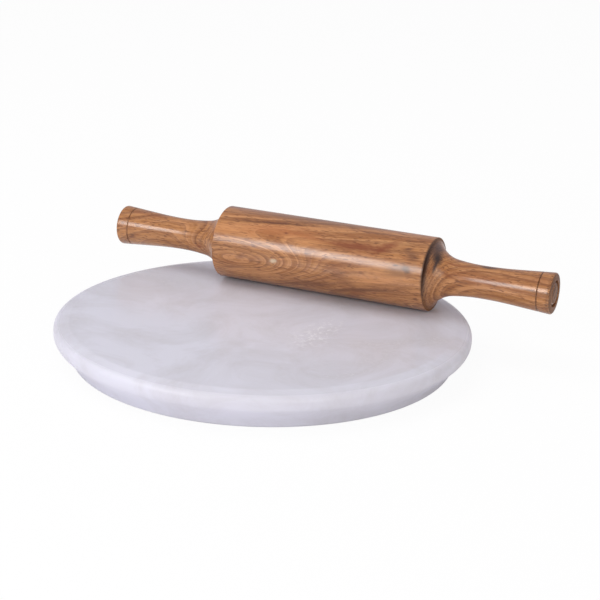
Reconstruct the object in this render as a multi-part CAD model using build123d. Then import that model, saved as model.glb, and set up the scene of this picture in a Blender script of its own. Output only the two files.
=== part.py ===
from build123d import *
from math import radians, tan
import os

# Every length is in millimetres and every angle in degrees.
# +Z is up, +X runs along the rolling pin, and the origin is the centre of the board's underside.

# The marble board, one thick disc of stone ground to shape all round.
board_diameter = 254.0
board_height = 23.3

# Its shoulder, the gentle slope that runs from the flat top out to the rim.
shoulder_width = 9.2
shoulder_slope = 11.0

# Its rim, round above and below, with a bevel that runs in under it to the foot.
rim_top_radius = 4.8
rim_under_radius = 7.1
under_bevel_slope = 44.1

# The foot, set in under the rim, which leaves room for fingers to lift the board.
rim_overhang = 8.2
foot_height = 6.3
foot_draft = 25.4
foot_edge_bevel = 1.5

# The rolling pin's barrel, turned with both handles from one piece of wood.
barrel_diameter = 46.3
barrel_length = 143.3
barrel_arris = 0.5

# A handle's profile: a narrow ring and a cove at the barrel, a flare, a waist, a swell and a taper.
handle_length = 77.8
end_ring_width = 1.2
flare_radius = 120.0
flare_angle = 8.4
waist_diameter = 20.3
waist_from_barrel = 31.6
swell_radius = 262.0
handle_taper = 4.45

# The handle's end, softly domed, with a line scribed round it.
end_dome_rise = 1.0
end_arris = 0.8
scribed_line_width = 0.9
scribed_line_from_end = 8.8

# Where the pin lies on the board at rest.
pin_along = 13.6
pin_behind = 65.0
pin_seat_gap = 0.3

# The share of a wall that the roundings or bevels at its ends may take between them.
worked_wall_share = 0.97


def nearest_corner(outline, place):
    """The corner of an outline in the XY plane that lies at a place."""
    return outline.vertices().sort_by_distance(place)[0]


def marble_board():
    """The board: half of its section, out from the axis, turned about the upright axis."""
    board_radius = board_diameter / 2
    foot_radius = board_radius - rim_overhang
    side_bottom = foot_height + rim_overhang * tan(radians(under_bevel_slope))
    side_top = board_height - shoulder_width * tan(radians(shoulder_slope))
    corners = {
        "middle_of_base": (0, 0),
        "foot_base": (foot_radius - foot_height * tan(radians(foot_draft)), 0),
        "foot_top": (foot_radius, foot_height),
        "side_bottom": (board_radius, side_bottom),
        "side_top": (board_radius, side_top),
        "shoulder": (board_radius - shoulder_width, board_height),
        "middle_of_top": (0, board_height),
    }

    # The rim's two roundings meet on its side, and shrink together where that is too short for them.
    top_reach = rim_top_radius * tan(radians(90 - shoulder_slope) / 2)
    under_reach = rim_under_radius * tan(radians(90 - under_bevel_slope) / 2)
    side_room = worked_wall_share * (side_top - side_bottom)
    shrink = min(1, side_room / (top_reach + under_reach))
    section = make_face(Polyline(*corners.values(), close=True))
    section = fillet(nearest_corner(section, corners["side_bottom"]), rim_under_radius * shrink)
    section = fillet(nearest_corner(section, corners["side_top"]), rim_top_radius * shrink)

    foot_edge = min(foot_edge_bevel, worked_wall_share * foot_height)
    section = chamfer(nearest_corner(section, corners["foot_base"]), foot_edge)
    return revolve(Plane.XZ * section, Axis.Z)


def handle_lines(barrel_end, tip):
    """The pin's section from the barrel's end to the tip, and its last corner."""
    waist = (barrel_end + waist_from_barrel, waist_diameter / 2)
    flare = JernArc(waist, (-1, 0), flare_radius, -flare_angle)

    # The cove carries the flare up to the narrow ring that is left of the barrel's end face.
    ring_corner = (barrel_end, barrel_diameter / 2 - end_ring_width)
    cove = TangentArc(flare @ 1, ring_corner, tangent=flare % 1)
    ring = Line(ring_corner, (barrel_end, barrel_diameter / 2))

    # Beyond the waist the handle swells, then runs straight out to its domed end.
    swell = JernArc(waist, (1, 0), swell_radius, handle_taper)
    taper_length = tip - end_dome_rise - (swell @ 1).X
    last_corner = swell @ 1 + Vector(taper_length, taper_length * tan(radians(handle_taper)))
    taper = Line(swell @ 1, last_corner)
    dome = TangentArc((tip, 0), last_corner, tangent=(0, 1))
    return Curve() + [ring, cove, flare, swell, taper, dome], last_corner


def rolling_pin():
    """The pin: its section, scribed and turned about its axis, then laid on the board."""
    barrel_end = barrel_length / 2
    tip = barrel_end + handle_length
    right_lines, last_corner = handle_lines(barrel_end, tip)
    barrel_line = Line((-barrel_end, barrel_diameter / 2), (barrel_end, barrel_diameter / 2))
    axis_line = Line((-tip, 0), (tip, 0))
    section = make_face(right_lines + mirror(right_lines, Plane.YZ) + barrel_line + axis_line)

    # The scribed line is a V cut into the taper.
    line_x = tip - scribed_line_from_end
    line_radius = last_corner.Y - (last_corner.X - line_x) * tan(radians(handle_taper))
    scriber_point = RegularPolygon(scribed_line_width / 2, side_count=4)
    barrel_bevel = min(barrel_arris, worked_wall_share * end_ring_width)
    for side in (-1, 1):
        barrel_corner = (side * barrel_end, barrel_diameter / 2)
        handle_corner = (side * last_corner.X, last_corner.Y)
        section = chamfer(nearest_corner(section, barrel_corner), barrel_bevel)
        section = chamfer(nearest_corner(section, handle_corner), end_arris)
        section -= Pos(side * line_x, line_radius) * scriber_point

    axis_height = board_height + pin_seat_gap + barrel_diameter / 2
    return Pos(pin_along, pin_behind, axis_height) * revolve(section, Axis.X)


os.makedirs("parts", exist_ok=True)
export_step(marble_board(), "parts/marble_board.step")
export_step(rolling_pin(), "parts/rolling_pin.step")
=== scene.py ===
import logging
import math
from dataclasses import dataclass, field
from enum import Enum

import bpy
from mathutils import Matrix, Vector, noise


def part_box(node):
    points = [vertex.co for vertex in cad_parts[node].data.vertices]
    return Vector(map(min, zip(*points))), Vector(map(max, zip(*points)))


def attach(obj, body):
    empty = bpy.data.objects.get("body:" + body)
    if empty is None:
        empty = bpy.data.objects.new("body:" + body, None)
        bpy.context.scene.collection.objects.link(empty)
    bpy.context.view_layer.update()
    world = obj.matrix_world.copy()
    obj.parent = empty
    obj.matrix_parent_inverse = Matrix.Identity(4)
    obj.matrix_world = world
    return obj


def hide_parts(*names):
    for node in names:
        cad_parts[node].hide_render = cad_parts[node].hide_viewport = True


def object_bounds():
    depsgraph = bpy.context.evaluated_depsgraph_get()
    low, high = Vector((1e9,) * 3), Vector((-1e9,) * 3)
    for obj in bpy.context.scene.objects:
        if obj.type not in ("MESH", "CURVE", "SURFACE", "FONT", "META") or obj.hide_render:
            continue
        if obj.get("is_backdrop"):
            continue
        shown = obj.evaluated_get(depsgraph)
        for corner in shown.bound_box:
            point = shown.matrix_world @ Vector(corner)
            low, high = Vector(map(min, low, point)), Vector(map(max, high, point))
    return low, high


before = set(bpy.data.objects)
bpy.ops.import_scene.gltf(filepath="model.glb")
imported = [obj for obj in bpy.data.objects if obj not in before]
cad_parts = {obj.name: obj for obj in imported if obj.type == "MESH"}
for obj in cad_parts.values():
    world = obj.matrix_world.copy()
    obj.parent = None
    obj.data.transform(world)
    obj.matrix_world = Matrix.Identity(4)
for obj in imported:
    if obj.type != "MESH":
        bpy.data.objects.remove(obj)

# The object: a polished marble rolling board (chakla) and the loose wooden rolling pin lying on it.
# Lengths are in metres and angles in degrees, unless a name ends in _mm.

LOG = logging.getLogger("rolling_board")
MM_PER_M = 1000.0
IMAGE_SIDE_PIXELS = 600
WHITE = "#FFFFFF"

# A hand-worked face dips in soft waves, about this many round the piece and this long along its axis.
WAVES_ROUND = 1.3
WAVE_LENGTH = 0.02

# A flat lamp's power for each unit of its radiance and each square metre of its face.
LAMP_WATTS = 4.0

Point = tuple[float, float]
Colour = tuple[float, float, float, float]


class Axis(Enum):
    """The axis that a turned piece is turned about."""

    X = "x"
    Z = "z"


class GrainMark(Enum):
    """What kind of mark is in the wood; patches of painted shade and painted reflection take a kind for
    its edge. Its value is how ragged the mark's edge is.
    """

    KNOT = 0.35
    FLECK = 0.7
    STREAK = 1.0


def linear_colour(hex_code: str) -> Colour:
    """Turn an sRGB colour into the linear one that a shader takes.

    Args:
        hex_code: The colour as six hexadecimal digits after a hash.

    Returns:
        Red, green, blue and an alpha of one, in linear light.
    """
    channels = [int(hex_code[start:start + 2], 16) / 255 for start in (1, 3, 5)]
    linear = [c / 12.92 if c <= 0.04045 else ((c + 0.055) / 1.055) ** 2.4 for c in channels]
    return (*linear, 1.0)


def add_node(
    tree: bpy.types.NodeTree,
    kind: str,
    settings: dict | None = None,
    inputs: dict | None = None,
    stops: tuple[tuple[float, str], ...] = (),
) -> bpy.types.Node:
    """Add a node with its settings, its inputs and, for a colour ramp, its stops.

    Args:
        tree: The node tree that gets the node.
        kind: The node's type, such as ShaderNodeMath.
        settings: The node's own properties by name.
        inputs: A value or another node's output socket, by the input's name or place.
        stops: Place and hex colour of each stop of a colour ramp.

    Returns:
        The new node.
    """
    node = tree.nodes.new(kind)
    for name, value in (settings or {}).items():
        setattr(node, name, value)
    for name, value in (inputs or {}).items():
        if isinstance(value, bpy.types.NodeSocket):
            tree.links.new(value, node.inputs[name])
        else:
            node.inputs[name].default_value = value
    for place, (position, hex_code) in enumerate(stops):
        elements = node.color_ramp.elements
        stop = elements[place] if place < len(elements) else elements.new(position)
        stop.position = position
        stop.color = linear_colour(hex_code)
    return node


def new_material(name: str) -> tuple[bpy.types.Material, bpy.types.NodeTree, bpy.types.Node]:
    """Make an empty node material.

    Args:
        name: The material's name.

    Returns:
        The material, its node tree and its output node.
    """
    material = bpy.data.materials.new(name)
    material.use_nodes = True
    tree = material.node_tree
    tree.nodes.clear()
    output = add_node(tree, "ShaderNodeOutputMaterial")
    return material, tree, output


def arc_points(centre: Point, radius: float, start: float, end: float, steps: int) -> list[Point]:
    """Points along an arc, both ends included.

    Args:
        centre: The arc's centre.
        radius: Its radius.
        start: The angle that it starts at, in degrees from the first axis.
        end: The angle that it ends at.
        steps: How many straight pieces it is drawn with.

    Returns:
        The points, in order.
    """
    angles = [math.radians(start + (end - start) * step / steps) for step in range(steps + 1)]
    return [(centre[0] + radius * math.cos(a), centre[1] + radius * math.sin(a)) for a in angles]


@dataclass(frozen=True)
class Fade:
    """Where a colour or pattern begins to show, where it shows most, and how much of it shows there."""

    begins: float
    full: float
    most: float = 1.0

    def inputs(self, value: bpy.types.NodeSocket) -> dict:
        """Give the inputs of a node that turns a value into how much shows."""
        return {"Value": value, "From Min": self.begins, "From Max": self.full, "To Max": self.most}


@dataclass
class Outline:
    """A turned piece's outline as (distance along the axis, radius), with rounded corners."""

    corners: list[tuple[Point, float]] = field(default_factory=list)
    corner_steps: int = 6

    def add(self, points: list[Point], rounding: float = 0.0) -> None:
        """Add points to the outline, each a corner with this rounding."""
        self.corners += [(point, rounding) for point in points]

    def points(self) -> list[Point]:
        """Round each corner that has a rounding.

        Returns:
            The outline's points, from one end of the axis to the other.
        """
        result = []
        for place, (point, rounding) in enumerate(self.corners):
            if rounding == 0.0:
                result.append(point)
                continue
            before = Vector(self.corners[place - 1][0]) - Vector(point)
            after = Vector(self.corners[place + 1][0]) - Vector(point)
            reach = rounding / math.tan(before.angle(after) / 2)
            reach = min(reach, before.length / 2, after.length / 2)
            start = Vector(point) + before.normalized() * reach
            end = Vector(point) + after.normalized() * reach
            for step in range(self.corner_steps + 1):
                share = step / self.corner_steps
                near, far = start.lerp(Vector(point), share), Vector(point).lerp(end, share)
                result.append(tuple(near.lerp(far, share)))
        return result


def turned_piece(
    name: str, outline: Outline, axis: Axis, segments: int, waviness: float = 0.0
) -> bpy.types.Object:
    """Turn an outline about an axis into a closed mesh.

    Args:
        name: The piece's name.
        outline: Its outline, which starts and ends on the axis.
        axis: The axis that it is turned about.
        segments: How many steps one turn takes.
        waviness: How far the hand-worked surface dips inwards, at most.

    Returns:
        The piece, with its origin at the outline's own origin.
    """
    profile = outline.points()
    vertices, faces = [], []
    for along, radius in profile[1:-1]:
        for step in range(segments):
            angle = 2 * math.pi * step / segments
            outwards = Vector((math.cos(angle), math.sin(angle)))
            wave = noise.noise(Vector((*outwards * WAVES_ROUND, along / WAVE_LENGTH)))
            dip = min(max((1 - wave) / 2, 0.0), 1.0)
            place = outwards * (radius - waviness * dip)
            if axis is Axis.X:
                vertices.append((along, place.y, place.x))
            else:
                vertices.append((place.x, place.y, along))
    poles = [profile[0][0], profile[-1][0]]
    for along in poles:
        vertices.append((along, 0.0, 0.0) if axis is Axis.X else (0.0, 0.0, along))

    rings = len(profile) - 2
    first_pole, last_pole = len(vertices) - 2, len(vertices) - 1
    for step in range(segments):
        ahead = (step + 1) % segments
        faces.append((first_pole, ahead, step))
        last_ring = (rings - 1) * segments
        faces.append((last_pole, last_ring + step, last_ring + ahead))
        for ring in range(rings - 1):
            low, high = ring * segments, (ring + 1) * segments
            faces.append((low + step, low + ahead, high + ahead, high + step))
    mesh = bpy.data.meshes.new(name)
    mesh.from_pydata(vertices, [], faces)
    mesh.polygons.foreach_set("use_smooth", [True] * len(mesh.polygons))
    mesh.update()
    piece = bpy.data.objects.new(name, mesh)
    bpy.context.scene.collection.objects.link(piece)
    return piece


@dataclass(frozen=True)
class PolishedMarble:
    """White marble, ground and polished by hand.

    Its polish is a clear mirror at a low angle, over a pale stone that is cool and a little milky.
    """

    # The pale stone, its grey clouds and its feathery veins.
    stone: str = "#D6D6E2"
    cloud: str = "#C5C3CB"
    feather: str = "#E8E9F0"
    cloud_mm: float = 55.0
    clouds_show: Fade = Fade(0.42, 0.66, 0.8)

    # The veins: how large their crystals, their bends and the gaps in them are.
    feather_mm: float = 4.0
    feather_bend_mm: float = 8.0
    feather_drift_mm: float = 12.0
    broken_mm: float = 3.0
    crystal_edge: Fade = Fade(0.16, 0.0)
    unbroken: Fade = Fade(0.45, 0.6, 1.6)

    # The one patch where the veins are plain to see, and the fainter ones elsewhere.
    patch_place_mm: tuple[float, float, float] = (46.0, -3.0, 24.0)
    patch_reach_mm: tuple[float, float, float] = (16.0, 42.0, 30.0)
    in_patch: Fade = Fade(1.0, 0.2, 0.7)
    out_of_patch: Fade = Fade(0.55, 0.7, 0.22)

    # The polish, and how light sinks into the stone.
    polish_wave_mm: float = 35.0
    polish_wave_height: float = 0.0004
    polish_wave_strength: float = 0.25
    polished_roughness: float = 0.24
    honed_roughness: float = 0.42
    polished_where: Fade = Fade(0.9, 0.998)
    glow: float = 0.3
    glow_depth: float = 0.008
    glow_colour: tuple[float, float, float] = (1.0, 0.9, 1.0)

    def make(self) -> bpy.types.Material:
        """Build the material.

        Returns:
            The finished material.
        """
        material, tree, output = new_material("marble_white_hand_polished")
        coordinates = add_node(tree, "ShaderNodeTexCoord")
        mm = add_node(
            tree, "ShaderNodeVectorMath", {"operation": "SCALE"},
            {0: coordinates.outputs["Object"], "Scale": MM_PER_M},
        ).outputs["Vector"]

        # Soft grey clouds lie deep in the stone and hardly show.
        clouds = add_node(
            tree, "ShaderNodeTexNoise", {},
            {"Vector": mm, "Scale": 1 / self.cloud_mm, "Detail": 7.0, "Roughness": 0.68,
             "Distortion": 0.8},
        )
        cloud_share = add_node(
            tree, "ShaderNodeMapRange", {}, self.clouds_show.inputs(clouds.outputs["Fac"])
        )
        clouded = add_node(
            tree, "ShaderNodeMix", {"data_type": "RGBA"},
            {"Factor": cloud_share.outputs["Result"], 6: linear_colour(self.stone),
             7: linear_colour(self.cloud)},
        )

        # Feathery veins: the stone's crystal edges catch the light where a vein comes up. Real
        # crystals are about 1 mm, too fine to show, so they are drawn coarser.
        ragged = add_node(
            tree, "ShaderNodeTexNoise", {},
            {"Vector": mm, "Scale": 1 / self.feather_bend_mm, "Detail": 4.0},
        )
        bent = add_node(
            tree, "ShaderNodeVectorMath", {"operation": "MULTIPLY_ADD"},
            {0: ragged.outputs["Color"], 1: (self.feather_drift_mm,) * 3, 2: mm},
        )
        crystals = add_node(
            tree, "ShaderNodeTexVoronoi", {"feature": "DISTANCE_TO_EDGE"},
            {"Vector": bent.outputs["Vector"], "Scale": 1 / self.feather_mm},
        )
        edge = add_node(
            tree, "ShaderNodeMapRange", {"interpolation_type": "SMOOTHSTEP"},
            self.crystal_edge.inputs(crystals.outputs["Distance"]),
        )
        in_patch_frame = add_node(
            tree, "ShaderNodeMapping", {"vector_type": "TEXTURE"},
            {"Vector": bent.outputs["Vector"], "Location": self.patch_place_mm,
             "Scale": self.patch_reach_mm},
        )
        patch_distance = add_node(
            tree, "ShaderNodeVectorMath", {"operation": "LENGTH"}, {0: in_patch_frame.outputs["Vector"]}
        )
        plain_veins = add_node(
            tree, "ShaderNodeMapRange", {"interpolation_type": "SMOOTHSTEP"},
            self.in_patch.inputs(patch_distance.outputs["Value"]),
        )
        faint_veins = add_node(
            tree, "ShaderNodeMapRange", {"interpolation_type": "SMOOTHSTEP"},
            self.out_of_patch.inputs(clouds.outputs["Fac"]),
        )
        feather_reach = add_node(
            tree, "ShaderNodeMath", {"operation": "MAXIMUM"},
            {0: plain_veins.outputs["Result"], 1: faint_veins.outputs["Result"]},
        )

        # The veins are broken, or they would join up into a net.
        broken = add_node(
            tree, "ShaderNodeTexNoise", {}, {"Vector": mm, "Scale": 1 / self.broken_mm, "Detail": 3.0}
        )
        showing = add_node(
            tree, "ShaderNodeMapRange", {"interpolation_type": "SMOOTHSTEP"},
            self.unbroken.inputs(broken.outputs["Fac"]),
        )
        crossing = add_node(
            tree, "ShaderNodeMath", {"operation": "MULTIPLY", "use_clamp": True},
            {0: edge.outputs["Result"], 1: showing.outputs["Result"]},
        )
        feather_share = add_node(
            tree, "ShaderNodeMath", {"operation": "MULTIPLY"},
            {0: crossing.outputs["Value"], 1: feather_reach.outputs["Value"]},
        )
        feathered = add_node(
            tree, "ShaderNodeMix", {"data_type": "RGBA"},
            {"Factor": feather_share.outputs["Value"], 6: clouded.outputs[2],
             7: linear_colour(self.feather)},
        )

        # Hand polishing leaves the face a little wavy, so what it reflects has a wandering edge.
        waves = add_node(
            tree, "ShaderNodeTexNoise", {},
            {"Vector": mm, "Scale": 1 / self.polish_wave_mm, "Detail": 2.0},
        )
        wavy = add_node(
            tree, "ShaderNodeBump", {},
            {"Height": waves.outputs["Fac"], "Strength": self.polish_wave_strength,
             "Distance": self.polish_wave_height},
        )

        # The flat top is polished, and the rim and foot are only honed.
        facing = add_node(
            tree, "ShaderNodeSeparateXYZ", {}, {"Vector": coordinates.outputs["Normal"]}
        )
        roughness = add_node(
            tree, "ShaderNodeMapRange", {"interpolation_type": "SMOOTHSTEP"},
            self.polished_where.inputs(facing.outputs["Z"])
            | {"To Min": self.honed_roughness, "To Max": self.polished_roughness},
        )

        # Light sinks a few millimetres into marble and comes out again, which makes it look milky.
        shader = add_node(
            tree, "ShaderNodeBsdfPrincipled", {},
            {"Base Color": feathered.outputs[2], "Roughness": roughness.outputs["Result"], "IOR": 1.5,
             "Subsurface Weight": self.glow, "Subsurface Scale": self.glow_depth,
             "Subsurface Radius": self.glow_colour, "Normal": wavy.outputs["Normal"]},
        )
        tree.links.new(shader.outputs["BSDF"], output.inputs["Surface"])
        return material


@dataclass(frozen=True)
class WoodMark:
    """One mark in the pin's wood, by where it comes out on the surface. A few are not in the wood but
    are painted shade and painted reflections.

    Its place is along the pin from its middle, round it from its front, and out from its axis.
    """

    kind: GrainMark
    along_mm: float
    round_degrees: float
    radius_mm: float
    length_mm: float
    width_mm: float
    colour: str = "#5A3018"
    strength: float = 0.6
    lean_degrees: float = 0.0
    depth_mm: float = 8.0

    def distance(self, tree: bpy.types.NodeTree, mm: bpy.types.NodeSocket) -> bpy.types.NodeSocket:
        """Add the nodes that measure how far a point is from the mark.

        Args:
            tree: The wood's node tree.
            mm: The point in the pin's own frame, in millimetres.

        Returns:
            A socket that is nought at the mark's middle and one at its edge.
        """
        turn = math.radians(self.round_degrees)
        middle = (
            self.along_mm, -self.radius_mm * math.cos(turn), self.radius_mm * math.sin(turn)
        )
        outwards = Matrix.Rotation(math.pi / 2 - turn, 3, "X")
        lean = Matrix.Rotation(math.radians(self.lean_degrees), 3, "Z")
        local = add_node(
            tree, "ShaderNodeMapping", {"vector_type": "TEXTURE"},
            {"Vector": mm, "Location": middle, "Rotation": (outwards @ lean).to_euler(),
             "Scale": (self.length_mm / 2, self.width_mm / 2, self.depth_mm)},
        )
        measured = add_node(
            tree, "ShaderNodeVectorMath", {"operation": "LENGTH"}, {0: local.outputs["Vector"]}
        )
        return measured.outputs["Value"]


@dataclass(frozen=True)
class LacqueredHardwood:
    """Acacia-like hardwood, turned, sanded and finished with clear gloss lacquer.

    Warm brown growth rings and fine fibres lie under a clear coat that takes a bright strip of light.
    """

    # Growth rings: bands between three browns, each ring ending in a dark line.
    pale: str = "#BE8452"
    middle: str = "#A66E39"
    deep: str = "#8B5429"
    line: str = "#61361A"
    ring_mm: float = 5.2
    ring_offset_mm: float = -27.8
    bands_to_a_ring: float = 1.6
    band_stops: tuple[float, float, float] = (0.26, 0.42, 0.64)
    ring_lines_show: Fade = Fade(0.45, 0.97, 0.5)

    # How the rings lie in the pin: their centre, their lean, and how far they wander.
    pith_distance_mm: float = 62.0
    pith_side_degrees: float = 38.0
    grain_lean: float = -0.112
    drift_mm: float = 5.0
    drift_length_mm: float = 60.0
    drift_width_mm: float = 24.0

    # The branch under the nested arches, how far it pushed the rings up, and the rings in a cove.
    arches: WoodMark = WoodMark(GrainMark.KNOT, -52.0, -10.0, 23.4, 138.0, 38.0, depth_mm=40.0)
    arches_mm: float = 52.0
    arches_rise: Fade = Fade(1.25, -0.25)
    cove_rings: float = 2.8

    # Heartwood, fibres and pores.
    heart: str = "#84461F"
    heart_length_mm: float = 75.0
    heart_width_mm: float = 13.0
    heart_shows: Fade = Fade(0.5, 0.74, 0.65)
    fibre_length_mm: float = 13.0
    fibre_width_mm: float = 1.0
    dark_fibres_show: Fade = Fade(0.48, 0.68, 0.55)
    pale_fibres_show: Fade = Fade(0.5, 0.32, 0.5)
    pore: str = "#65391C"
    pore_length_mm: float = 5.0
    pore_width_mm: float = 0.8
    pores_show: Fade = Fade(0.58, 0.68, 0.75)

    # End grain, by how squarely a face cuts across the grain.
    end_grain: str = "#331A0C"
    end_grain_shows: Fade = Fade(0.72, 0.98, 0.55)
    end_grain_coat: float = 0.2
    coat_thins: Fade = Fade(0.8, 0.98)

    # The lacquer, and the wood under it.
    wood_roughness: float = 0.5
    wood_gloss: float = 0.1
    lacquer_roughness: float = 0.24
    lacquer_ior: float = 1.6
    lacquer_wave_height: float = 0.0003
    lacquer_wave_strength: float = 0.3

    # Marks in the wood, and patches of painted shade and painted reflection, whose edges fade and are
    # ragged along the grain.
    # A row gives a mark's kind, mm along, degrees round, mm out, mm long, mm wide, colour, strength and
    # degrees of lean.
    mark_edge: float = 1.0
    mark_core: float = 0.1
    ragged_length_mm: float = 4.0
    ragged_width_mm: float = 1.2
    marks: tuple[WoodMark, ...] = (
        # The barrel: broad tints, dark streaks, the eyes of the arches, and paler wood between them.
        WoodMark(GrainMark.STREAK, -10.0, 88.0, 23.2, 130.0, 20.0, "#7E5535", 0.6, 3.0),
        WoodMark(GrainMark.STREAK, -30.0, 48.0, 23.2, 80.0, 14.0, "#B26C38", 0.55, 5.0),
        WoodMark(GrainMark.STREAK, -33.0, 62.0, 23.2, 92.0, 3.2, "#5A2F16", 0.85, 6.0),
        WoodMark(GrainMark.STREAK, 36.0, 76.0, 23.2, 60.0, 3.0, "#6E3F20", 0.7, 2.0),
        WoodMark(GrainMark.STREAK, -51.0, -3.0, 23.2, 10.0, 6.0, "#6A3B1E", 0.65),
        WoodMark(GrainMark.STREAK, -42.5, -6.0, 23.2, 8.0, 5.0, "#6F4123", 0.6),
        WoodMark(GrainMark.KNOT, -48.0, 14.0, 23.2, 12.0, 3.0, "#7A4A28", 0.5, -12.0),
        WoodMark(GrainMark.STREAK, -28.0, -1.5, 23.2, 7.0, 4.4, "#D8C8AC", 0.65),
        WoodMark(GrainMark.FLECK, -22.5, 46.0, 23.2, 5.0, 2.4, "#6A3217", 0.85),
        WoodMark(GrainMark.STREAK, 25.0, 42.0, 23.2, 62.0, 9.0, "#7A3A14", 0.85, 1.5),
        WoodMark(GrainMark.STREAK, -8.0, 45.0, 23.2, 44.0, 6.0, "#A8622F", 0.5, -4.0),
        WoodMark(GrainMark.STREAK, -8.0, 36.0, 23.2, 50.0, 9.0, "#C98A55", 0.45, -3.0),
        WoodMark(GrainMark.STREAK, -62.0, 38.0, 23.2, 44.0, 16.0, "#C98A55", 0.5, 4.0),
        WoodMark(GrainMark.STREAK, 50.0, 60.0, 23.2, 34.0, 6.0, "#C08A55", 0.6, 8.0),
        WoodMark(GrainMark.STREAK, 45.0, 49.0, 23.2, 30.0, 9.0, "#7A3A14", 0.8, 38.0),
        WoodMark(GrainMark.STREAK, -57.0, -25.0, 23.2, 26.0, 2.6, "#6A3B1E", 0.7, 8.0),
        WoodMark(GrainMark.STREAK, 20.0, -14.0, 23.2, 36.0, 13.0, "#7A4A26", 0.6, -35.0),
        WoodMark(GrainMark.STREAK, 34.0, -27.0, 23.2, 96.0, 5.0, "#6B3C1C", 0.8, 12.5),
        WoodMark(GrainMark.STREAK, 46.0, -12.0, 23.2, 60.0, 3.6, "#6B3C1C", 0.5, 13.0),
        WoodMark(GrainMark.STREAK, 50.0, 12.0, 23.2, 60.0, 16.0, "#C48A58", 0.6, 9.0),
        WoodMark(GrainMark.STREAK, 46.0, -3.0, 23.2, 70.0, 14.0, "#C98A52", 0.4, 9.0),
        WoodMark(GrainMark.KNOT, 63.0, 40.0, 23.2, 14.0, 9.0, "#5C3522", 0.65, -20.0),
        WoodMark(GrainMark.KNOT, 59.0, 51.0, 23.2, 9.0, 3.6, "#5C3522", 0.7, 20.0),
        WoodMark(GrainMark.STREAK, 62.0, 69.0, 23.2, 26.0, 3.0, "#70401F", 0.7, 10.0),
        # The right cove: painted shade on the narrow ring behind the barrel's arris, and painted dark
        # reflections on the upper cove and in a teardrop with its tail.
        # Painted dark reflection on the upper cove.
        WoodMark(GrainMark.KNOT, 75.0, 80.0, 18.5, 13.0, 30.0, "#4A342C", 0.9),
        # Painted shade on the narrow ring just behind the barrel's arris.
        WoodMark(GrainMark.KNOT, 71.9, 30.0, 21.2, 3.6, 64.0, "#26120A", 0.95, depth_mm=20.0),
        # Painted dark reflection: the teardrop, then its tail.
        WoodMark(GrainMark.KNOT, 76.4, 56.0, 15.8, 9.0, 15.0, "#27150E", 0.95),
        WoodMark(GrainMark.KNOT, 76.3, 36.0, 15.6, 2.6, 14.0, "#2E1C1A", 0.9, -6.0),
        # Greyer wood at the barrel's right end.
        WoodMark(GrainMark.STREAK, 57.0, 16.0, 23.2, 30.0, 12.0, "#4A362E", 0.5, 12.0),
        WoodMark(GrainMark.STREAK, 61.0, 18.0, 23.2, 12.0, 6.0, "#3A241A", 0.6, -40.0),
        WoodMark(GrainMark.FLECK, 53.5, 22.0, 23.2, 6.0, 1.6, "#4A2C1C", 0.7, 10.0),
        # Both scribed lines, which are darker than the wood beside them.
        WoodMark(GrainMark.KNOT, 140.65, 0.0, 0.0, 1.6, 200.0, "#3E200F", 0.65, depth_mm=100.0),
        WoodMark(GrainMark.KNOT, -140.65, 0.0, 0.0, 1.6, 200.0, "#3E200F", 0.45, depth_mm=100.0),
        # The barrel's low side, and both handles.
        WoodMark(GrainMark.STREAK, -3.0, -34.0, 23.2, 60.0, 9.0, "#5F2F0C", 0.65, 10.0),
        WoodMark(GrainMark.STREAK, 83.0, 24.0, 12.0, 22.0, 2.2, "#7A431D", 0.6, -18.0),
        WoodMark(GrainMark.STREAK, 88.0, 62.0, 11.0, 30.0, 2.6, "#7A3B16", 0.65, 6.0),
        WoodMark(GrainMark.STREAK, 108.0, 84.0, 10.2, 18.0, 4.4, "#33211A", 0.9, 4.0),
        WoodMark(GrainMark.KNOT, -87.0, -15.0, 11.0, 7.0, 4.6, "#8A4A22", 0.75),
        WoodMark(GrainMark.KNOT, -137.0, -20.0, 12.2, 7.0, 3.2, "#74401F", 0.7),
        WoodMark(GrainMark.FLECK, -124.0, 60.0, 11.6, 4.0, 2.0, "#7C4523", 0.6),
        WoodMark(GrainMark.STREAK, 104.0, -42.0, 10.6, 66.0, 8.0, "#C48A55", 0.5),
        WoodMark(GrainMark.STREAK, -45.0, -30.0, 23.2, 56.0, 12.0, "#C48A55", 0.45),
        # The right end face: growth rings cut across, and painted near-black shade on the recess's
        # floor.
        WoodMark(GrainMark.STREAK, 149.0, 48.0, 3.6, 4.0, 16.0, "#2E170C", 0.8, depth_mm=0.9),
        WoodMark(GrainMark.STREAK, 149.0, 48.0, 1.2, 4.0, 14.0, "#C99C7C", 0.6, depth_mm=0.9),
        WoodMark(GrainMark.STREAK, 149.0, 44.0, -1.6, 4.0, 15.0, "#2E170C", 0.8, depth_mm=0.9),
        WoodMark(GrainMark.STREAK, 149.0, 40.0, -4.2, 4.0, 12.0, "#C99C7C", 0.5, depth_mm=0.9),
        WoodMark(GrainMark.STREAK, 149.0, 52.0, 9.6, 4.0, 15.0, "#3A1E12", 0.7, depth_mm=1.2),
        # Painted shade: the recess's floor drawn near black.
        WoodMark(GrainMark.KNOT, 147.4, 90.0, 0.0, 4.0, 34.0, "#1A0B04", 1.0, 0.0, 17.0),
    )

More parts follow.
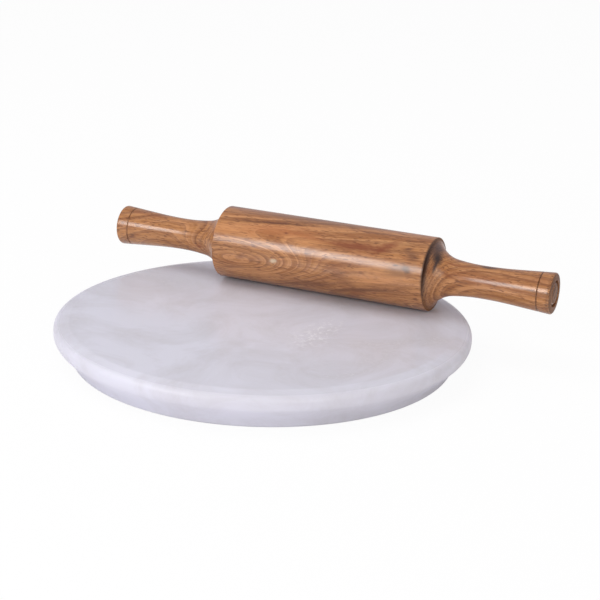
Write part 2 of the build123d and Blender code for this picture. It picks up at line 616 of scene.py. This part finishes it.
    def grain_place(
        self, tree: bpy.types.NodeTree, mm: bpy.types.NodeSocket
    ) -> tuple[bpy.types.NodeSocket, bpy.types.NodeSocket]:
        """Bend the wood's frame, and measure each point's distance from the tree's pith.

        Args:
            tree: The wood's node tree.
            mm: The point in the pin's own frame, in millimetres.

        Returns:
            The bent point, and its distance from the pith in millimetres.
        """
        stretched = add_node(
            tree, "ShaderNodeVectorMath", {"operation": "DIVIDE"},
            {0: mm, 1: (self.drift_length_mm, self.drift_width_mm, self.drift_width_mm)},
        )
        drift = add_node(
            tree, "ShaderNodeTexNoise", {},
            {"Vector": stretched.outputs["Vector"], "Scale": 1.0, "Detail": 2.0},
        )
        centred = add_node(
            tree, "ShaderNodeVectorMath", {"operation": "SUBTRACT"},
            {0: drift.outputs["Color"], 1: (0.5, 0.5, 0.5)},
        )
        bent = add_node(
            tree, "ShaderNodeVectorMath", {"operation": "MULTIPLY_ADD"},
            {0: centred.outputs["Vector"], 1: (0.0, self.drift_mm, self.drift_mm), 2: mm},
        )

        # The trunk's pith lies outside the pin and leans to its axis, so the rings run out of its side.
        side = math.radians(self.pith_side_degrees)
        towards_bark = Vector((0.0, math.sin(side), math.cos(side)))
        along = add_node(
            tree, "ShaderNodeSeparateXYZ", {}, {"Vector": bent.outputs["Vector"]}
        )
        leaning = add_node(
            tree, "ShaderNodeVectorMath", {"operation": "SCALE"},
            {0: towards_bark * self.grain_lean, "Scale": along.outputs["X"]},
        )
        from_pith = add_node(
            tree, "ShaderNodeVectorMath", {"operation": "ADD"},
            {0: leaning.outputs["Vector"], 1: towards_bark * self.pith_distance_mm},
        )
        across = add_node(
            tree, "ShaderNodeVectorMath", {"operation": "MULTIPLY_ADD"},
            {0: bent.outputs["Vector"], 1: (0.0, 1.0, 1.0), 2: from_pith.outputs["Vector"]},
        )
        ring_place = add_node(
            tree, "ShaderNodeVectorMath", {"operation": "LENGTH"}, {0: across.outputs["Vector"]}
        )

        # A branch pushed the rings up, so where they were cut through they show as nested arches.
        rise = add_node(
            tree, "ShaderNodeMapRange", {"interpolation_type": "SMOOTHERSTEP"},
            self.arches_rise.inputs(self.arches.distance(tree, bent.outputs["Vector"]))
            | {"To Min": self.ring_offset_mm, "To Max": self.arches_mm + self.ring_offset_mm},
        )
        raised = add_node(
            tree, "ShaderNodeMath", {"operation": "ADD"},
            {0: rise.outputs["Result"], 1: ring_place.outputs["Value"]},
        )

        # Where a cove cuts down through the rings, they show as crescents round it.
        off_axis = add_node(
            tree, "ShaderNodeVectorMath", {"operation": "MULTIPLY"}, {0: mm, 1: (0.0, 1.0, 1.0)}
        )
        depth = add_node(
            tree, "ShaderNodeVectorMath", {"operation": "LENGTH"}, {0: off_axis.outputs["Vector"]}
        )
        cut = add_node(
            tree, "ShaderNodeMath", {"operation": "MULTIPLY_ADD"},
            {0: depth.outputs["Value"], 1: self.cove_rings, 2: raised.outputs["Value"]},
        )
        return bent.outputs["Vector"], cut.outputs["Value"]

    def streaks(
        self, tree: bpy.types.NodeTree, mm: bpy.types.NodeSocket, length_mm: float, width_mm: float,
        detail: float,
    ) -> bpy.types.NodeSocket:
        """Add a noise that is drawn out along the grain.

        Args:
            tree: The wood's node tree.
            mm: The point to draw it at, in millimetres.
            length_mm: How long one streak is.
            width_mm: How wide it is.
            detail: How many finer layers it has.

        Returns:
            A socket with the noise, about a half on average.
        """
        drawn_out = add_node(
            tree, "ShaderNodeVectorMath", {"operation": "DIVIDE"},
            {0: mm, 1: (length_mm, width_mm, width_mm)},
        )
        streaks = add_node(
            tree, "ShaderNodeTexNoise", {},
            {"Vector": drawn_out.outputs["Vector"], "Scale": 1.0, "Detail": detail},
        )
        return streaks.outputs["Fac"]

    def blend(
        self, tree: bpy.types.NodeTree, value: bpy.types.NodeSocket, fade: Fade,
        under: bpy.types.NodeSocket, over: str,
    ) -> bpy.types.NodeSocket:
        """Lay a colour over another.

        Args:
            tree: The wood's node tree.
            value: What decides how much of the colour shows.
            fade: The values at which it begins to show and shows most.
            under: The colour beneath.
            over: The colour laid over it, as a hex code.

        Returns:
            The blended colour.
        """
        amount = add_node(
            tree, "ShaderNodeMapRange", {"interpolation_type": "SMOOTHSTEP"}, fade.inputs(value)
        )
        blended = add_node(
            tree, "ShaderNodeMix", {"data_type": "RGBA"},
            {"Factor": amount.outputs["Result"], 6: under, 7: linear_colour(over)},
        )
        return blended.outputs[2]

    def make(self) -> bpy.types.Material:
        """Build the material.

        Returns:
            The finished material.
        """
        material, tree, output = new_material("hardwood_turned_gloss_lacquered")
        place = add_node(tree, "ShaderNodeTexCoord")
        mm = add_node(
            tree, "ShaderNodeVectorMath", {"operation": "SCALE"},
            {0: place.outputs["Object"], "Scale": MM_PER_M},
        ).outputs["Vector"]
        bent, ring_place = self.grain_place(tree, mm)

        # Growth rings: soft bands of uneven width, each with a thin dark line at its outer edge.
        ring_count = add_node(
            tree, "ShaderNodeMath", {"operation": "DIVIDE"}, {0: ring_place, 1: self.ring_mm}
        )
        bands = add_node(
            tree, "ShaderNodeTexNoise", {"noise_dimensions": "1D"},
            {"W": ring_count.outputs["Value"], "Scale": self.bands_to_a_ring, "Detail": 3.0,
             "Roughness": 0.6},
        )
        banded = add_node(
            tree, "ShaderNodeValToRGB", {}, {"Fac": bands.outputs["Fac"]},
            tuple(zip(self.band_stops, (self.deep, self.middle, self.pale))),
        )
        uneven = add_node(
            tree, "ShaderNodeMath", {"operation": "ADD"},
            {0: ring_count.outputs["Value"], 1: bands.outputs["Fac"]},
        )
        season = add_node(
            tree, "ShaderNodeMath", {"operation": "FRACT"}, {0: uneven.outputs["Value"]}
        )
        colour = self.blend(
            tree, season.outputs["Value"], self.ring_lines_show, banded.outputs["Color"], self.line
        )

        # Darker, redder heartwood runs through it in long patches.
        heart = self.streaks(tree, bent, self.heart_length_mm, self.heart_width_mm, 3.0)
        colour = self.blend(tree, heart, self.heart_shows, colour, self.heart)

        # The fibres and pores are drawn wider than the real ones, which would be too fine to show.
        fibres = self.streaks(tree, bent, self.fibre_length_mm, self.fibre_width_mm, 4.0)
        colour = self.blend(tree, fibres, self.dark_fibres_show, colour, self.deep)
        colour = self.blend(tree, fibres, self.pale_fibres_show, colour, self.pale)
        pores = self.streaks(tree, mm, self.pore_length_mm, self.pore_width_mm, 1.0)
        colour = self.blend(tree, pores, self.pores_show, colour, self.pore)

        # Knots, flecks and dark or pale streaks, and patches of painted shade and painted reflection,
        # each with a ragged edge drawn out along the grain.
        ragged = self.streaks(tree, mm, self.ragged_length_mm, self.ragged_width_mm, 3.0)
        for mark in self.marks:
            uneven_edge = add_node(
                tree, "ShaderNodeMath", {"operation": "MULTIPLY_ADD"},
                {0: ragged, 1: mark.kind.value, 2: mark.distance(tree, mm)},
            )
            usual = mark.kind.value / 2
            fade = Fade(usual + self.mark_edge, usual + self.mark_core, mark.strength)
            colour = self.blend(tree, uneven_edge.outputs["Value"], fade, colour, mark.colour)

        # End grain drinks in the lacquer, so it is darker than the long grain and has little gloss.
        facing = add_node(
            tree, "ShaderNodeSeparateXYZ", {}, {"Vector": place.outputs["Normal"]}
        )
        end_grain = add_node(
            tree, "ShaderNodeMath", {"operation": "ABSOLUTE"}, {0: facing.outputs["X"]}
        )
        colour = self.blend(
            tree, end_grain.outputs["Value"], self.end_grain_shows, colour, self.end_grain
        )
        left_on_top = add_node(
            tree, "ShaderNodeMapRange", {"interpolation_type": "SMOOTHSTEP"},
            self.coat_thins.inputs(end_grain.outputs["Value"])
            | {"To Min": 1.0, "To Max": self.end_grain_coat},
        )

        # The lacquer has sunk a little along the fibres, so its strip of light isn't quite even.
        lacquer_waves = add_node(
            tree, "ShaderNodeBump", {},
            {"Height": fibres, "Strength": self.lacquer_wave_strength,
             "Distance": self.lacquer_wave_height},
        )
        shader = add_node(
            tree, "ShaderNodeBsdfPrincipled", {},
            {"Base Color": colour, "Roughness": self.wood_roughness, "IOR": 1.5,
             "Specular IOR Level": self.wood_gloss, "Coat Weight": left_on_top.outputs["Result"],
             "Coat Roughness": self.lacquer_roughness, "Coat IOR": self.lacquer_ior,
             "Normal": lacquer_waves.outputs["Normal"]},
        )
        tree.links.new(shader.outputs["BSDF"], output.inputs["Surface"])
        return material


@dataclass
class MarbleBoard:
    """The marble disc, ground to a gentle shoulder, a rounded rim, an under bevel and a foot."""

    shoulder_width: float = 0.0092
    shoulder_slope: float = 11.0
    shoulder_softening: float = 0.010
    rim_top_radius: float = 0.0048
    rim_under_radius: float = 0.0071
    under_bevel_slope: float = 44.1
    rim_overhang: float = 0.0082
    foot_height: float = 0.0063
    foot_draft: float = 25.4
    foot_edge_radius: float = 0.0025
    waviness: float = 0.00018
    segments: int = 360
    corner_steps: int = 10

    def outline(self, radius: float, height: float) -> Outline:
        """Draw the board's outline from the middle of its base to the middle of its top.

        Args:
            radius: The rim's radius.
            height: The board's height.

        Returns:
            The outline, as height and radius.
        """
        foot_radius = radius - self.rim_overhang
        foot_base = foot_radius - self.foot_height * math.tan(math.radians(self.foot_draft))
        side_bottom = self.foot_height + self.rim_overhang * math.tan(
            math.radians(self.under_bevel_slope)
        )
        side_top = height - self.shoulder_width * math.tan(math.radians(self.shoulder_slope))
        outline = Outline(corner_steps=self.corner_steps)
        outline.add([(0.0, 0.0)])
        outline.add([(0.0, foot_base)], self.foot_edge_radius)
        outline.add([(self.foot_height, foot_radius)])
        outline.add([(side_bottom, radius)], self.rim_under_radius)
        outline.add([(side_top, radius)], self.rim_top_radius)
        outline.add([(height, radius - self.shoulder_width)], self.shoulder_softening)
        outline.add([(height, 0.0)])
        return outline

    def build(self, finish: PolishedMarble) -> bpy.types.Object:
        """Build the board in place of its CAD node.

        Args:
            finish: The stone's finish.

        Returns:
            The board.
        """
        low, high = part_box("marble_board")
        outline = self.outline((high.x - low.x) / 2, high.z - low.z)
        board = turned_piece("marble_disc", outline, Axis.Z, self.segments, self.waviness)
        board.location = ((low.x + high.x) / 2, (low.y + high.y) / 2, low.z)
        board.data.materials.append(finish.make())
        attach(board, "board")
        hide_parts("marble_board")
        return board


@dataclass
class RollingPin:
    """The pin, barrel and both handles turned from one piece of wood."""

    barrel_length: float = 0.1433
    barrel_arris: float = 0.0005
    end_ring_width: float = 0.0012
    flare_radius: float = 0.120
    flare_angle: float = 8.4
    waist_radius: float = 0.01015
    waist_from_barrel: float = 0.0316
    swell_radius: float = 0.262
    handle_taper: float = 4.45
    end_dome_rise: float = 0.0010
    end_arris: float = 0.0013
    scribed_line_width: float = 0.0009
    scribed_line_from_end: float = 0.0088
    scribed_line_softening: float = 0.0001125
    dome_step: float = 0.8
    recess_radius: float = 0.0083
    recess_floor_radius: float = 0.008075
    recess_depth: float = 0.0020
    recess_lip_softening: float = 0.000225
    recess_floor_softening: float = 0.00015
    button_softening: float = 0.00045
    arc_steps: int = 14
    segments: int = 192

    # The button's edge, its side and its middle, each as radius and depth below the dome.
    button: tuple[Point, ...] = ((0.0059, 0.0004), (0.00295, 0.00025), (0.0, 0.0002))

    def handle(self, barrel_radius: float, handle_length: float) -> list[tuple[Point, float]]:
        """Draw a handle's outline, out from the barrel's arris to the middle of its end.

        Args:
            barrel_radius: The barrel's radius.
            handle_length: The handle's length.

        Returns:
            Corners as distance from the barrel's end and radius, each with its rounding.
        """
        outline = Outline()
        outline.add([(0.0, barrel_radius)], self.barrel_arris)

        # The flare and the swell meet at the waist, which lies straight below both their centres.
        down = 270.0
        flare_centre = (self.waist_from_barrel, self.waist_radius + self.flare_radius)
        flare = arc_points(
            flare_centre, self.flare_radius, down - self.flare_angle, down, self.arc_steps
        )

        # The cove carries the flare up to the narrow ring that is left of the barrel's end face.
        turn = math.radians(self.flare_angle)
        towards_centre = Vector((math.sin(turn), math.cos(turn)))
        chord = Vector((0.0, barrel_radius - self.end_ring_width)) - Vector(flare[0])
        cove_radius = chord.length_squared / (2 * chord.dot(towards_centre))
        cove_centre = Vector(flare[0]) + towards_centre * cove_radius
        to_ring = Vector(flare[0]) + chord - cove_centre
        at_ring = math.degrees(math.atan2(to_ring.y, to_ring.x)) % 360
        cove = arc_points(
            tuple(cove_centre), cove_radius, at_ring, down - self.flare_angle, self.arc_steps
        )
        swell_centre = (self.waist_from_barrel, self.waist_radius + self.swell_radius)
        swell = arc_points(
            swell_centre, self.swell_radius, down, down + self.handle_taper, self.arc_steps
        )
        outline.add(cove + flare[1:] + swell[1:])

        # The straight taper runs out from the end of the swell, with the scribed line cut in it.
        slope = math.tan(math.radians(self.handle_taper))
        swell_end, swell_end_radius = swell[-1]
        half = self.scribed_line_width / 2
        line = handle_length - self.scribed_line_from_end
        last = handle_length - self.end_dome_rise
        for place, depth in ((line - half, 0.0), (line, half), (line + half, 0.0)):
            radius = swell_end_radius + (place - swell_end) * slope - depth
            outline.add([(place, radius)], self.scribed_line_softening)
        last_radius = swell_end_radius + (last - swell_end) * slope
        outline.add([(last, last_radius)], self.end_arris)

        # The end face is a low dome with a round recess, which leaves a button in its middle.
        dome = (last_radius**2 + self.end_dome_rise**2) / (2 * self.end_dome_rise)
        for radius, depth, rounding in (
            (last_radius * self.dome_step, 0.0, 0.0),
            (self.recess_radius, 0.0, self.recess_lip_softening),
            (self.recess_floor_radius, self.recess_depth, self.recess_floor_softening),
            (*self.button[0], self.button_softening),
            (*self.button[1], 0.0),
            (*self.button[2], 0.0),
        ):
            drop = dome - math.sqrt(dome**2 - radius**2)
            outline.add([(handle_length - drop - depth, radius)], rounding)
        return outline.corners

    def build(self, finish: LacqueredHardwood) -> bpy.types.Object:
        """Build the pin in place of its CAD node.

        Args:
            finish: The wood's finish.

        Returns:
            The pin.
        """
        low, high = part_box("rolling_pin")
        barrel_radius = (high.z - low.z) / 2
        barrel_end = self.barrel_length / 2
        handle_length = (high.x - low.x - self.barrel_length) / 2
        handle = self.handle(barrel_radius, handle_length)
        outline = Outline()
        for (out, radius), rounding in reversed(handle):
            outline.add([(-barrel_end - out, radius)], rounding)
        for (out, radius), rounding in handle:
            outline.add([(barrel_end + out, radius)], rounding)
        pin = turned_piece("turned_pin", outline, Axis.X, self.segments)
        pin.location = (low + high) / 2
        pin.data.materials.append(finish.make())
        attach(pin, "pin")
        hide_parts("rolling_pin")
        return pin


@dataclass(frozen=True)
class Softbox:
    """A rectangular studio lamp with a white diffuser."""

    name: str
    towards: tuple[float, float, float]
    distance: float
    width: float
    height: float
    radiance: float
    colour: str
    mirrored: bool = True

    def build(self, target: Vector) -> bpy.types.Object:
        """Build the lamp, facing the object.

        Args:
            target: The point that it faces.

        Returns:
            The lamp.
        """
        data = bpy.data.lights.new(self.name, "AREA")
        data.shape = "RECTANGLE"
        data.size = self.width
        data.size_y = self.height
        data.energy = self.radiance * LAMP_WATTS * self.width * self.height
        data.color = linear_colour(self.colour)[:3]
        lamp = bpy.data.objects.new(self.name, data)
        direction = Vector(self.towards).normalized()
        lamp.location = target + direction * self.distance
        lamp.rotation_euler = direction.to_track_quat("Z", "Y").to_euler()
        lamp.visible_glossy = self.mirrored
        bpy.context.scene.collection.objects.link(lamp)
        return lamp


@dataclass(frozen=True)
class MattPaper:
    """Matt studio paper. It has no gloss, so all that shows on it is the object's soft shadow."""

    colour: str = "#F2F1F4"
    lift: float = 0.94

    def make(self) -> bpy.types.Material:
        """Build the material, which is lifted to white only where the camera sees it directly.

        Returns:
            The finished material.
        """
        material, tree, output = new_material("studio_floor_matt_paper")
        seen = add_node(tree, "ShaderNodeLightPath")
        paper = add_node(
            tree, "ShaderNodeBsdfDiffuse", {}, {"Color": linear_colour(self.colour)}
        )
        glow = add_node(tree, "ShaderNodeEmission", {}, {"Color": linear_colour(WHITE)})
        lift = add_node(
            tree, "ShaderNodeMath", {"operation": "MULTIPLY"},
            {0: seen.outputs["Is Camera Ray"], 1: self.lift},
        )
        both = add_node(
            tree, "ShaderNodeMixShader", {},
            {0: lift.outputs["Value"], 1: paper.outputs["BSDF"], 2: glow.outputs["Emission"]},
        )
        tree.links.new(both.outputs["Shader"], output.inputs["Surface"])
        return material


@dataclass
class Studio:
    """The pale floor, the soft lamps and the surroundings."""

    floor_side: float = 12.0
    floor_gap: float = 0.0001
    surround_colour: str = "#FFFCFD"
    surround_strength: float = 0.53
    reflected_colour: str = "#F6F2FF"
    reflected_strength: float = 0.48
    lamps: tuple[Softbox, ...] = (
        Softbox("key_softbox", (-0.365, -0.841, 0.398), 1.4, 0.60, 0.44, 6.45, WHITE),
        Softbox("top_softbox", (-0.3, -0.08, 0.92), 1.8, 1.4, 1.4, 1.55, WHITE, False),
        Softbox("right_softbox", (0.75, -0.6, 0.35), 1.8, 1.2, 1.0, 1.5, "#FFFAEA"),
    )

    def floor(self, finish: MattPaper) -> bpy.types.Object:
        """Lay the floor just under the board.

        Args:
            finish: The floor's finish.

        Returns:
            The floor.
        """
        half = self.floor_side / 2
        mesh = bpy.data.meshes.new("studio_floor")
        corners = [(-half, -half, 0.0), (half, -half, 0.0), (half, half, 0.0), (-half, half, 0.0)]
        mesh.from_pydata(corners, [], [(0, 1, 2, 3)])
        floor = bpy.data.objects.new("studio_floor", mesh)
        floor.location.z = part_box("marble_board")[0].z - self.floor_gap
        bpy.context.scene.collection.objects.link(floor)
        mesh.materials.append(finish.make())
        floor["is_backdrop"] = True
        return floor

    def surroundings(self) -> None:
        """Surround the object with even light, and with white where it is seen or reflected."""
        world = bpy.data.worlds.new("studio_surroundings")
        world.use_nodes = True
        tree = world.node_tree
        tree.nodes.clear()
        output = add_node(tree, "ShaderNodeOutputWorld")
        seen = add_node(tree, "ShaderNodeLightPath")
        even = add_node(
            tree, "ShaderNodeBackground", {},
            {"Color": linear_colour(self.surround_colour), "Strength": self.surround_strength},
        )
        reflected = add_node(
            tree, "ShaderNodeBackground", {},
            {"Color": linear_colour(self.reflected_colour), "Strength": self.reflected_strength},
        )
        white = add_node(tree, "ShaderNodeBackground", {}, {"Color": linear_colour(WHITE)})
        mirrored = add_node(
            tree, "ShaderNodeMath", {"operation": "MAXIMUM"},
            {0: seen.outputs["Is Glossy Ray"], 1: seen.outputs["Is Transmission Ray"]},
        )
        lit = add_node(
            tree, "ShaderNodeMixShader", {},
            {0: mirrored.outputs["Value"], 1: even.outputs["Background"],
             2: reflected.outputs["Background"]},
        )
        shown = add_node(
            tree, "ShaderNodeMixShader", {},
            {0: seen.outputs["Is Camera Ray"], 1: lit.outputs["Shader"],
             2: white.outputs["Background"]},
        )
        tree.links.new(shown.outputs["Shader"], output.inputs["Surface"])
        bpy.context.scene.world = world

    def build(self, target: Vector) -> list[bpy.types.Object]:
        """Build the floor, the surroundings and the lamps.

        Args:
            target: The point that the lamps face.

        Returns:
            The floor and the lamps.
        """
        floor = self.floor(MattPaper())
        self.surroundings()
        return [floor] + [lamp.build(target) for lamp in self.lamps]


@dataclass(frozen=True)
class PhotographCamera:
    """The camera that took the photograph, as fitted to the object's outlines."""

    place: tuple[float, float, float] = (0.39791, -0.83976, 0.34722)
    heading: float = -24.0103
    tilt: float = 18.5506
    roll: float = 1.8176
    focal_pixels: float = 1613.75
    sensor_mm: float = 36.0

    def build(self) -> bpy.types.Object:
        """Build the camera and make it the scene's own.

        Returns:
            The camera.
        """
        heading, tilt = math.radians(self.heading), math.radians(self.tilt)
        forward = Vector((
            math.sin(heading) * math.cos(tilt), math.cos(heading) * math.cos(tilt), -math.sin(tilt)
        ))
        level = Vector((math.cos(heading), -math.sin(heading), 0.0))
        up = level.cross(forward)
        turn = Matrix.Rotation(math.radians(-self.roll), 3, forward)
        right, up = turn @ level, turn @ up
        data = bpy.data.cameras.new("photograph_camera")
        data.sensor_width = self.sensor_mm
        data.lens = self.focal_pixels / IMAGE_SIDE_PIXELS * self.sensor_mm
        camera = bpy.data.objects.new("photograph_camera", data)
        camera.matrix_world = Matrix.Translation(self.place) @ Matrix(
            (right, up, -forward)
        ).transposed().to_4x4()
        bpy.context.scene.collection.objects.link(camera)
        bpy.context.scene.camera = camera
        return camera


def main() -> None:
    """Build the camera, the studio and the two pieces, and log each piece's kind and face count."""
    logging.basicConfig(level=logging.INFO, format="%(name)s %(message)s")
    cad_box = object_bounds()
    bpy.context.scene.view_settings.view_transform = "Standard"
    pieces = [
        PhotographCamera().build(),
        MarbleBoard().build(PolishedMarble()),
        RollingPin().build(LacqueredHardwood()),
        *Studio().build((cad_box[0] + cad_box[1]) / 2),
    ]
    for piece in pieces:
        faces = f", {len(piece.data.polygons)} faces" if piece.type == "MESH" else ""
        LOG.info("%s: %s%s", piece.name, piece.type.lower(), faces)


if __name__ == "__main__":
    main()
